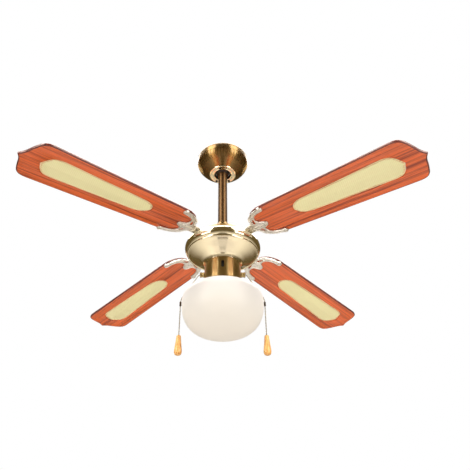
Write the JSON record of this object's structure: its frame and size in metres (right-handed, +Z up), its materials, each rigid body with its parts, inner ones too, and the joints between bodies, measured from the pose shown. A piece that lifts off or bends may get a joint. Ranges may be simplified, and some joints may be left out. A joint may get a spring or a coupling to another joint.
{
  "type": "ceiling fan with light",
  "caption": "Ceiling fan on a downrod: cane-panelled wooden blades on cast irons turn on a brass motor, with an opal globe lamp and pull chains below.",
  "frame": {"origin": "on the ceiling plane, at the middle of the hanger bracket's top face", "axes": "+Z up, out of the ceiling face; -Y towards the reverse switch; the pull chains lie on the X axis and the blades at 45 degrees to X and Y"},
  "size_m": [0.7832, 0.7832, 0.5735],
  "materials": {
    "bronze_plate": "satin",
    "antique_brass": "polished",
    "black_enamel": "satin",
    "black_plastic": "matte",
    "zinc_steel": "satin",
    "lamination_steel": "matte",
    "copper_winding": "satin",
    "nickel_casting": "polished",
    "nickel_chain": "satin",
    "stained_wood": "satin",
    "pull_wood": "satin",
    "cane": "matte",
    "opal_glass": "satin",
    "lamp_glass": "satin",
    "ceramic": "gloss",
    "white_plastic": "matte"
  },
  "bodies": {
    "ceiling_mount": {"hanger_bracket": "black_enamel", "canopy": "bronze_plate", "canopy_ring": "antique_brass", "canopy_screw_1": "zinc_steel", "canopy_screw_2": "zinc_steel", "canopy_screw_3": "zinc_steel", "terminal_block": "white_plastic"},
    "fan_body": {"hanger_ball": "black_plastic", "downrod": "bronze_plate", "downrod_pin": "zinc_steel", "motor_yoke": "bronze_plate", "motor_shaft": "zinc_steel", "stator_core": "lamination_steel", "winding_top": "copper_winding", "winding_bottom": "copper_winding", "motor_top_cover": "bronze_plate", "motor_bowl": "antique_brass", "shaft_nut_upper": "zinc_steel", "shaft_nut_lower": "zinc_steel", "switch_plate": "zinc_steel", "switch_housing": "antique_brass", "reverse_switch": "black_plastic", "speed_switch": "black_plastic", "light_switch": "black_plastic", "capacitor": "black_plastic", "fitter": "antique_brass", "globe": "opal_glass", "lampholder": "ceramic", "bulb": "lamp_glass", "chain_chute_left": "antique_brass", "chain_chute_right": "antique_brass", "upper_chain_left": "nickel_chain", "upper_chain_right": "nickel_chain"},
    "rotor": {"rotor_ring": "lamination_steel", "rotor_upper_shell": "zinc_steel", "rotor_lower_shell": "zinc_steel", "upper_bearing": "zinc_steel", "lower_bearing": "zinc_steel", "blade_1": "stained_wood", "blade_2": "stained_wood", "blade_3": "stained_wood", "blade_4": "stained_wood", "cane_panel_1": "cane", "cane_panel_2": "cane", "cane_panel_3": "cane", "cane_panel_4": "cane", "blade_iron_1": "nickel_casting", "blade_iron_2": "nickel_casting", "blade_iron_3": "nickel_casting", "blade_iron_4": "nickel_casting"},
    "reverse_slider": {"reverse_slider": "black_plastic"},
    "coupling_left": {"chain_coupling_left": "nickel_chain"},
    "pull_left": {"lower_chain_left": "nickel_chain", "chain_pull_left": "pull_wood"},
    "coupling_right": {"chain_coupling_right": "nickel_chain"},
    "pull_right": {"lower_chain_right": "nickel_chain", "chain_pull_right": "pull_wood"},
    "thumb_screw_1": {"thumb_screw_1": "antique_brass"},
    "thumb_screw_2": {"thumb_screw_2": "antique_brass"},
    "thumb_screw_3": {"thumb_screw_3": "antique_brass"}
  },
  "joints": [
    {"name": "hanger_tilt", "type": "hinge", "parent": "ceiling_mount", "child": "fan_body", "pos_m": [0, 0, -0.036], "axis": [1, 0, 0], "range_deg": [-12, 12]},
    {"name": "fan_spin", "type": "hinge", "parent": "fan_body", "child": "rotor", "pos_m": [0, 0, -0.273], "axis": [0, 0, 1], "continuous": true},
    {"name": "reverse_slide", "type": "slide", "parent": "fan_body", "child": "reverse_slider", "axis": [0, 0, 1], "range_m": [0, 0.006]},
    {"name": "chain_draw_left", "type": "slide", "parent": "fan_body", "child": "coupling_left", "axis": [0, 0, -1], "range_m": [0, 0.01], "stiffness_N_per_m": 300},
    {"name": "pull_swing_left", "type": "hinge", "parent": "coupling_left", "child": "pull_left", "pos_m": [-0.0964, 0, -0.457], "axis": [1, 0, 0], "range_deg": [-30, 30]},
    {"name": "chain_draw_right", "type": "slide", "parent": "fan_body", "child": "coupling_right", "axis": [0, 0, -1], "range_m": [0, 0.01], "stiffness_N_per_m": 300},
    {"name": "pull_swing_right", "type": "hinge", "parent": "coupling_right", "child": "pull_right", "pos_m": [0.0964, 0, -0.457], "axis": [1, 0, 0], "range_deg": [-30, 30]},
    {"name": "thumb_screw_1_out", "type": "slide", "parent": "fan_body", "child": "thumb_screw_1", "axis": [0, 1, 0], "range_m": [0, 0.005]},
    {"name": "thumb_screw_2_out", "type": "slide", "parent": "fan_body", "child": "thumb_screw_2", "axis": [-0.9063, -0.4226, 0], "range_m": [0, 0.005]},
    {"name": "thumb_screw_3_out", "type": "slide", "parent": "fan_body", "child": "thumb_screw_3", "axis": [0.9063, -0.4226, 0], "range_m": [0, 0.005]}
  ]
}
